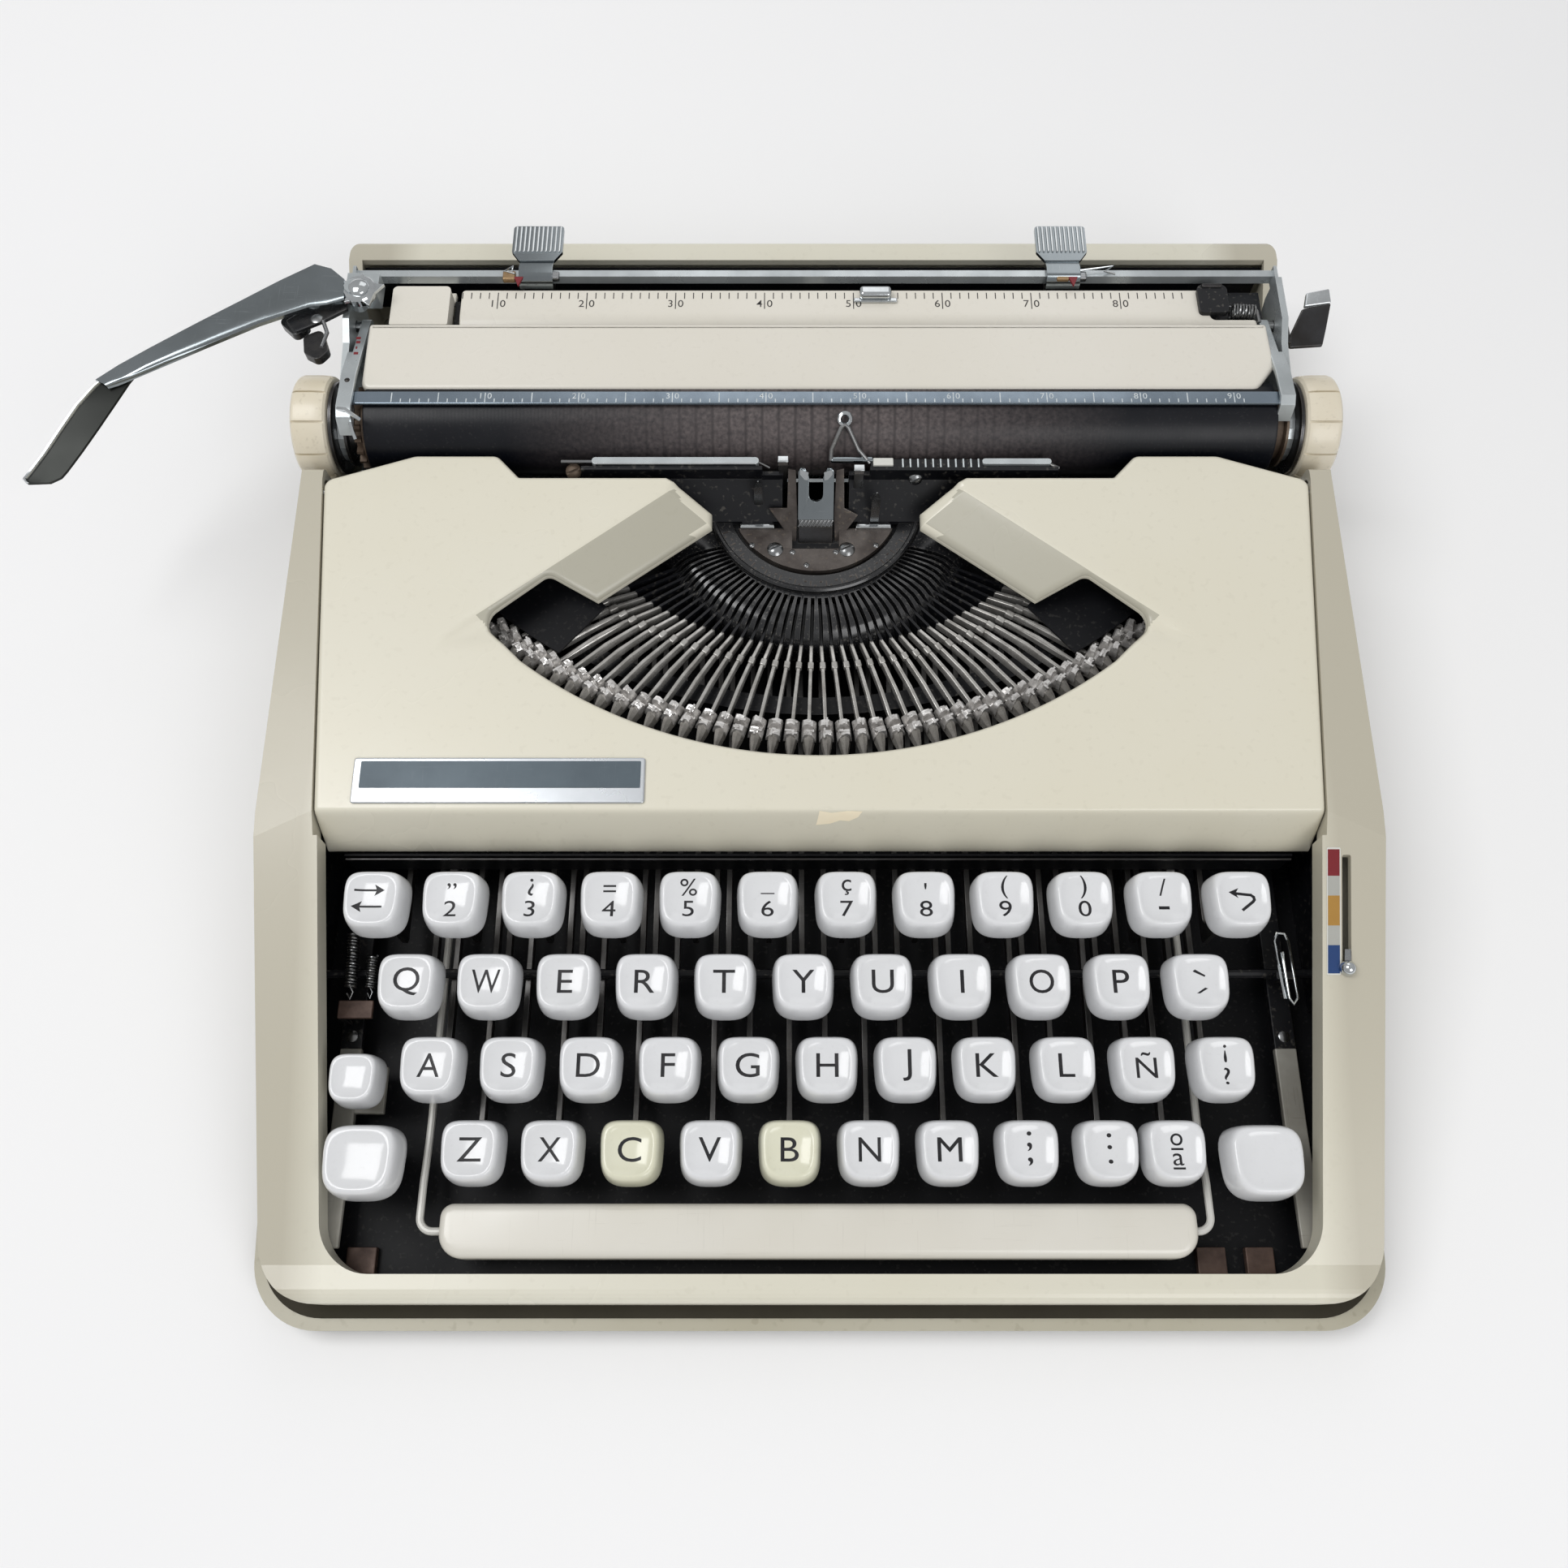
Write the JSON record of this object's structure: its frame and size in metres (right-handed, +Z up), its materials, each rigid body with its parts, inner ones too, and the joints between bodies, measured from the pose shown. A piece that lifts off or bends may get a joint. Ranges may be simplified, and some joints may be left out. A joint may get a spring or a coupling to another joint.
{
  "type": "portable typewriter",
  "caption": "Portable manual typewriter in a flat painted metal case, with a hinged ribbon cover, sprung keys, a fan of type bars and a sliding carriage.",
  "frame": {"origin": "centre of the bounding box at rest, on the table", "axes": "+X to the typist's right along the platen, +Y from the keyboard to the back, +Z up"},
  "size_m": [0.3592, 0.3076, 0.0646],
  "materials": {
    "case_paint": "gloss cream enamel",
    "base_paint": "satin beige enamel",
    "black_steel": "satin black",
    "bare_steel": "satin, aged",
    "chrome": "polished",
    "key_plastic": "gloss",
    "yellowed_key_plastic": "gloss",
    "space_bar_plastic": "gloss",
    "platen_rubber": "matt",
    "paper_table_paint": "satin"
  },
  "bodies": {
    "case": {"base_shell": "base_paint", "upper_housing": "case_paint", "chassis": "black_steel", "type_basket": "bare_steel"},
    "carriage": {"carriage_frame": "bare_steel", "paper_table": "paper_table_paint"},
    "platen_body": {"platen": "platen_rubber"},
    "cover_body": {"ribbon_cover": "case_paint"},
    "bail_body": {"paper_bail": "chrome"},
    "return_lever_body": {"return_lever": "chrome"},
    "left_stop_body": {"margin_stop_left": "chrome"},
    "right_stop_body": {"margin_stop_right": "chrome"},
    "release_body": {"carriage_release_lever": "chrome"},
    "selector_body": {"colour_selector": "chrome"},
    "space_bar_body": {"space_bar": "space_bar_plastic"},
    "shift_body": {"shift_frame": "key_plastic"},
    "key_z_body": {"key_z": "key_plastic"},
    "key_x_body": {"key_x": "key_plastic"},
    "key_c_body": {"key_c": "yellowed_key_plastic"},
    "key_v_body": {"key_v": "key_plastic"},
    "key_b_body": {"key_b": "yellowed_key_plastic"},
    "key_n_body": {"key_n": "key_plastic"},
    "key_m_body": {"key_m": "key_plastic"},
    "key_comma_body": {"key_comma": "key_plastic"},
    "key_period_body": {"key_period": "key_plastic"},
    "key_ordinal_body": {"key_ordinal": "key_plastic"},
    "key_a_body": {"key_a": "key_plastic"},
    "key_s_body": {"key_s": "key_plastic"},
    "key_d_body": {"key_d": "key_plastic"},
    "key_f_body": {"key_f": "key_plastic"},
    "key_g_body": {"key_g": "key_plastic"},
    "key_h_body": {"key_h": "key_plastic"},
    "key_j_body": {"key_j": "key_plastic"},
    "key_k_body": {"key_k": "key_plastic"},
    "key_l_body": {"key_l": "key_plastic"},
    "key_n_tilde_body": {"key_n_tilde": "key_plastic"},
    "key_question_body": {"key_question": "key_plastic"},
    "key_q_body": {"key_q": "key_plastic"},
    "key_w_body": {"key_w": "key_plastic"},
    "key_e_body": {"key_e": "key_plastic"},
    "key_r_body": {"key_r": "key_plastic"},
    "key_t_body": {"key_t": "key_plastic"},
    "key_y_body": {"key_y": "key_plastic"},
    "key_u_body": {"key_u": "key_plastic"},
    "key_i_body": {"key_i": "key_plastic"},
    "key_o_body": {"key_o": "key_plastic"},
    "key_p_body": {"key_p": "key_plastic"},
    "key_accent_body": {"key_accent": "key_plastic"},
    "margin_release_key_body": {"margin_release_key": "key_plastic"},
    "key_2_body": {"key_2": "key_plastic"},
    "key_3_body": {"key_3": "key_plastic"},
    "key_4_body": {"key_4": "key_plastic"},
    "key_5_body": {"key_5": "key_plastic"},
    "key_6_body": {"key_6": "key_plastic"},
    "key_7_body": {"key_7": "key_plastic"},
    "key_8_body": {"key_8": "key_plastic"},
    "key_9_body": {"key_9": "key_plastic"},
    "key_0_body": {"key_0": "key_plastic"},
    "key_hyphen_body": {"key_hyphen": "key_plastic"},
    "backspace_key_body": {"backspace_key": "key_plastic"}
  },
  "joints": [
    {"name": "cover_hinge", "type": "hinge", "parent": "case", "child": "cover_body", "pos_m": [0.03493, 0.05665, 0.04841], "axis": [-1, 0, 0], "range_deg": [0, 60]},
    {"name": "carriage_slide", "type": "slide", "parent": "case", "child": "carriage", "axis": [-1, 0, 0], "range_m": [-0.112, 0.112]},
    {"name": "platen_turn", "type": "hinge", "parent": "carriage", "child": "platen_body", "pos_m": [0.03493, 0.08135, 0.0433], "axis": [1, 0, 0], "continuous": true},
    {"name": "bail_hinge", "type": "hinge", "parent": "carriage", "child": "bail_body", "pos_m": [0.03493, 0.11035, 0.051], "axis": [-1, 0, 0], "range_deg": [0, 40]},
    {"name": "return_lever_hinge", "type": "hinge", "parent": "carriage", "child": "return_lever_body", "pos_m": [-0.09287, 0.11395, 0.0614], "axis": [0, 0, 1], "range_deg": [0, 33], "stiffness_Nm_per_rad": 0.15, "springref_deg": -17.19},
    {"name": "left_stop_slide", "type": "slide", "parent": "carriage", "child": "left_stop_body", "axis": [1, 0, 0], "range_m": [-0.04, 0.055]},
    {"name": "right_stop_slide", "type": "slide", "parent": "carriage", "child": "right_stop_body", "axis": [1, 0, 0], "range_m": [-0.055, 0.045]},
    {"name": "release_hinge", "type": "hinge", "parent": "carriage", "child": "release_body", "pos_m": [0.16453, 0.10335, 0.0427], "axis": [1, 0, 0], "range_deg": [0, 12], "stiffness_Nm_per_rad": 0.05, "springref_deg": -22.92},
    {"name": "selector_slide", "type": "slide", "parent": "case", "child": "selector_body", "axis": [0.0483, 0.9665, 0.2522], "range_m": [0, 0.026]},
    {"name": "shift_hinge", "type": "hinge", "parent": "case", "child": "shift_body", "pos_m": [0.03493, 0.04125, 0.0073], "axis": [1, 0, 0], "range_deg": [0, 2], "stiffness_Nm_per_rad": 0.6, "springref_deg": -17.19},
    {"name": "space_bar_hinge", "type": "hinge", "parent": "case", "child": "space_bar_body", "pos_m": [0.03493, 0.05125, 0.011], "axis": [1, 0, 0], "range_deg": [0, 2.2], "stiffness_Nm_per_rad": 0.3, "springref_deg": -20.05},
    {"name": "key_z_hinge", "type": "hinge", "parent": "case", "child": "key_z_body", "pos_m": [-0.04846, 0.05125, 0.011], "axis": [1, 0, 0], "range_deg": [0, 2.9], "stiffness_Nm_per_rad": 0.05, "springref_deg": -20.05},
    {"name": "key_x_hinge", "type": "hinge", "parent": "case", "child": "key_x_body", "pos_m": [-0.02946, 0.05125, 0.011], "axis": [1, 0, 0], "range_deg": [0, 2.9], "stiffness_Nm_per_rad": 0.05, "springref_deg": -20.05},
    {"name": "key_c_hinge", "type": "hinge", "parent": "case", "child": "key_c_body", "pos_m": [-0.01046, 0.05125, 0.011], "axis": [1, 0, 0], "range_deg": [0, 2.9], "stiffness_Nm_per_rad": 0.05, "springref_deg": -20.05},
    {"name": "key_v_hinge", "type": "hinge", "parent": "case", "child": "key_v_body", "pos_m": [0.00854, 0.05125, 0.011], "axis": [1, 0, 0], "range_deg": [0, 2.9], "stiffness_Nm_per_rad": 0.05, "springref_deg": -20.05},
    {"name": "key_b_hinge", "type": "hinge", "parent": "case", "child": "key_b_body", "pos_m": [0.02754, 0.05125, 0.011], "axis": [1, 0, 0], "range_deg": [0, 2.9], "stiffness_Nm_per_rad": 0.05, "springref_deg": -20.05},
    {"name": "key_n_hinge", "type": "hinge", "parent": "case", "child": "key_n_body", "pos_m": [0.04654, 0.05125, 0.011], "axis": [1, 0, 0], "range_deg": [0, 2.9], "stiffness_Nm_per_rad": 0.05, "springref_deg": -20.05},
    {"name": "key_m_hinge", "type": "hinge", "parent": "case", "child": "key_m_body", "pos_m": [0.06554, 0.05125, 0.011], "axis": [1, 0, 0], "range_deg": [0, 2.9], "stiffness_Nm_per_rad": 0.05, "springref_deg": -20.05},
    {"name": "key_comma_hinge", "type": "hinge", "parent": "case", "child": "key_comma_body", "pos_m": [0.08454, 0.05125, 0.011], "axis": [1, 0, 0], "range_deg": [0, 2.9], "stiffness_Nm_per_rad": 0.05, "springref_deg": -20.05},
    {"name": "key_period_hinge", "type": "hinge", "parent": "case", "child": "key_period_body", "pos_m": [0.10354, 0.05125, 0.011], "axis": [1, 0, 0], "range_deg": [0, 2.9], "stiffness_Nm_per_rad": 0.05, "springref_deg": -20.05},
    {"name": "key_ordinal_hinge", "type": "hinge", "parent": "case", "child": "key_ordinal_body", "pos_m": [0.11954, 0.05125, 0.011], "axis": [1, 0, 0], "range_deg": [0, 2.9], "stiffness_Nm_per_rad": 0.05, "springref_deg": -20.05},
    {"name": "key_a_hinge", "type": "hinge", "parent": "case", "child": "key_a_body", "pos_m": [-0.05848, 0.05125, 0.011], "axis": [1, 0, 0], "range_deg": [0, 3.2], "stiffness_Nm_per_rad": 0.05, "springref_deg": -20.05},
    {"name": "key_s_hinge", "type": "hinge", "parent": "case", "child": "key_s_body", "pos_m": [-0.03948, 0.05125, 0.011], "axis": [1, 0, 0], "range_deg": [0, 3.2], "stiffness_Nm_per_rad": 0.05, "springref_deg": -20.05},
    {"name": "key_d_hinge", "type": "hinge", "parent": "case", "child": "key_d_body", "pos_m": [-0.02048, 0.05125, 0.011], "axis": [1, 0, 0], "range_deg": [0, 3.2], "stiffness_Nm_per_rad": 0.05, "springref_deg": -20.05},
    {"name": "key_f_hinge", "type": "hinge", "parent": "case", "child": "key_f_body", "pos_m": [-0.00148, 0.05125, 0.011], "axis": [1, 0, 0], "range_deg": [0, 3.2], "stiffness_Nm_per_rad": 0.05, "springref_deg": -20.05},
    {"name": "key_g_hinge", "type": "hinge", "parent": "case", "child": "key_g_body", "pos_m": [0.01752, 0.05125, 0.011], "axis": [1, 0, 0], "range_deg": [0, 3.2], "stiffness_Nm_per_rad": 0.05, "springref_deg": -20.05},
    {"name": "key_h_hinge", "type": "hinge", "parent": "case", "child": "key_h_body", "pos_m": [0.03652, 0.05125, 0.011], "axis": [1, 0, 0], "range_deg": [0, 3.2], "stiffness_Nm_per_rad": 0.05, "springref_deg": -20.05},
    {"name": "key_j_hinge", "type": "hinge", "parent": "case", "child": "key_j_body", "pos_m": [0.05552, 0.05125, 0.011], "axis": [1, 0, 0], "range_deg": [0, 3.2], "stiffness_Nm_per_rad": 0.05, "springref_deg": -20.05},
    {"name": "key_k_hinge", "type": "hinge", "parent": "case", "child": "key_k_body", "pos_m": [0.07452, 0.05125, 0.011], "axis": [1, 0, 0], "range_deg": [0, 3.2], "stiffness_Nm_per_rad": 0.05, "springref_deg": -20.05},
    {"name": "key_l_hinge", "type": "hinge", "parent": "case", "child": "key_l_body", "pos_m": [0.09352, 0.05125, 0.011], "axis": [1, 0, 0], "range_deg": [0, 3.2], "stiffness_Nm_per_rad": 0.05, "springref_deg": -20.05},
    {"name": "key_n_tilde_hinge", "type": "hinge", "parent": "case", "child": "key_n_tilde_body", "pos_m": [0.11252, 0.05125, 0.011], "axis": [1, 0, 0], "range_deg": [0, 3.2], "stiffness_Nm_per_rad": 0.05, "springref_deg": -20.05},
    {"name": "key_question_hinge", "type": "hinge", "parent": "case", "child": "key_question_body", "pos_m": [0.13152, 0.05125, 0.011], "axis": [1, 0, 0], "range_deg": [0, 3.2], "stiffness_Nm_per_rad": 0.05, "springref_deg": -20.05},
    {"name": "key_q_hinge", "type": "hinge", "parent": "case", "child": "key_q_body", "pos_m": [-0.06418, 0.05125, 0.011], "axis": [1, 0, 0], "range_deg": [0, 3.6], "stiffness_Nm_per_rad": 0.05, "springref_deg": -20.05},
    {"name": "key_w_hinge", "type": "hinge", "parent": "case", "child": "key_w_body", "pos_m": [-0.04518, 0.05125, 0.011], "axis": [1, 0, 0], "range_deg": [0, 3.6], "stiffness_Nm_per_rad": 0.05, "springref_deg": -20.05},
    {"name": "key_e_hinge", "type": "hinge", "parent": "case", "child": "key_e_body", "pos_m": [-0.02618, 0.05125, 0.011], "axis": [1, 0, 0], "range_deg": [0, 3.6], "stiffness_Nm_per_rad": 0.05, "springref_deg": -20.05},
    {"name": "key_r_hinge", "type": "hinge", "parent": "case", "child": "key_r_body", "pos_m": [-0.00718, 0.05125, 0.011], "axis": [1, 0, 0], "range_deg": [0, 3.6], "stiffness_Nm_per_rad": 0.05, "springref_deg": -20.05},
    {"name": "key_t_hinge", "type": "hinge", "parent": "case", "child": "key_t_body", "pos_m": [0.01182, 0.05125, 0.011], "axis": [1, 0, 0], "range_deg": [0, 3.6], "stiffness_Nm_per_rad": 0.05, "springref_deg": -20.05},
    {"name": "key_y_hinge", "type": "hinge", "parent": "case", "child": "key_y_body", "pos_m": [0.03082, 0.05125, 0.011], "axis": [1, 0, 0], "range_deg": [0, 3.6], "stiffness_Nm_per_rad": 0.05, "springref_deg": -20.05},
    {"name": "key_u_hinge", "type": "hinge", "parent": "case", "child": "key_u_body", "pos_m": [0.04982, 0.05125, 0.011], "axis": [1, 0, 0], "range_deg": [0, 3.6], "stiffness_Nm_per_rad": 0.05, "springref_deg": -20.05},
    {"name": "key_i_hinge", "type": "hinge", "parent": "case", "child": "key_i_body", "pos_m": [0.06882, 0.05125, 0.011], "axis": [1, 0, 0], "range_deg": [0, 3.6], "stiffness_Nm_per_rad": 0.05, "springref_deg": -20.05},
    {"name": "key_o_hinge", "type": "hinge", "parent": "case", "child": "key_o_body", "pos_m": [0.08782, 0.05125, 0.011], "axis": [1, 0, 0], "range_deg": [0, 3.6], "stiffness_Nm_per_rad": 0.05, "springref_deg": -20.05},
    {"name": "key_p_hinge", "type": "hinge", "parent": "case", "child": "key_p_body", "pos_m": [0.10682, 0.05125, 0.011], "axis": [1, 0, 0], "range_deg": [0, 3.6], "stiffness_Nm_per_rad": 0.05, "springref_deg": -20.05},
    {"name": "key_accent_hinge", "type": "hinge", "parent": "case", "child": "key_accent_body", "pos_m": [0.12582, 0.05125, 0.011], "axis": [1, 0, 0], "range_deg": [0, 3.6], "stiffness_Nm_per_rad": 0.05, "springref_deg": -20.05},
    {"name": "margin_release_key_hinge", "type": "hinge", "parent": "case", "child": "margin_release_key_body", "pos_m": [-0.07276, 0.05125, 0.011], "axis": [1, 0, 0], "range_deg": [0, 4.3], "stiffness_Nm_per_rad": 0.05, "springref_deg": -20.05},
    {"name": "key_2_hinge", "type": "hinge", "parent": "case", "child": "key_2_body", "pos_m": [-0.05376, 0.05125, 0.011], "axis": [1, 0, 0], "range_deg": [0, 4.3], "stiffness_Nm_per_rad": 0.05, "springref_deg": -20.05},
    {"name": "key_3_hinge", "type": "hinge", "parent": "case", "child": "key_3_body", "pos_m": [-0.03476, 0.05125, 0.011], "axis": [1, 0, 0], "range_deg": [0, 4.3], "stiffness_Nm_per_rad": 0.05, "springref_deg": -20.05},
    {"name": "key_4_hinge", "type": "hinge", "parent": "case", "child": "key_4_body", "pos_m": [-0.01576, 0.05125, 0.011], "axis": [1, 0, 0], "range_deg": [0, 4.3], "stiffness_Nm_per_rad": 0.05, "springref_deg": -20.05},
    {"name": "key_5_hinge", "type": "hinge", "parent": "case", "child": "key_5_body", "pos_m": [0.00324, 0.05125, 0.011], "axis": [1, 0, 0], "range_deg": [0, 4.3], "stiffness_Nm_per_rad": 0.05, "springref_deg": -20.05},
    {"name": "key_6_hinge", "type": "hinge", "parent": "case", "child": "key_6_body", "pos_m": [0.02224, 0.05125, 0.011], "axis": [1, 0, 0], "range_deg": [0, 4.3], "stiffness_Nm_per_rad": 0.05, "springref_deg": -20.05},
    {"name": "key_7_hinge", "type": "hinge", "parent": "case", "child": "key_7_body", "pos_m": [0.04124, 0.05125, 0.011], "axis": [1, 0, 0], "range_deg": [0, 4.3], "stiffness_Nm_per_rad": 0.05, "springref_deg": -20.05},
    {"name": "key_8_hinge", "type": "hinge", "parent": "case", "child": "key_8_body", "pos_m": [0.06024, 0.05125, 0.011], "axis": [1, 0, 0], "range_deg": [0, 4.3], "stiffness_Nm_per_rad": 0.05, "springref_deg": -20.05},
    {"name": "key_9_hinge", "type": "hinge", "parent": "case", "child": "key_9_body", "pos_m": [0.07924, 0.05125, 0.011], "axis": [1, 0, 0], "range_deg": [0, 4.3], "stiffness_Nm_per_rad": 0.05, "springref_deg": -20.05},
    {"name": "key_0_hinge", "type": "hinge", "parent": "case", "child": "key_0_body", "pos_m": [0.09824, 0.05125, 0.011], "axis": [1, 0, 0], "range_deg": [0, 4.3], "stiffness_Nm_per_rad": 0.05, "springref_deg": -20.05},
    {"name": "key_hyphen_hinge", "type": "hinge", "parent": "case", "child": "key_hyphen_body", "pos_m": [0.11724, 0.05125, 0.011], "axis": [1, 0, 0], "range_deg": [0, 4.3], "stiffness_Nm_per_rad": 0.05, "springref_deg": -20.05},
    {"name": "backspace_key_hinge", "type": "hinge", "parent": "case", "child": "backspace_key_body", "pos_m": [0.13624, 0.05125, 0.011], "axis": [1, 0, 0], "range_deg": [0, 4.3], "stiffness_Nm_per_rad": 0.05, "springref_deg": -20.05}
  ]
}
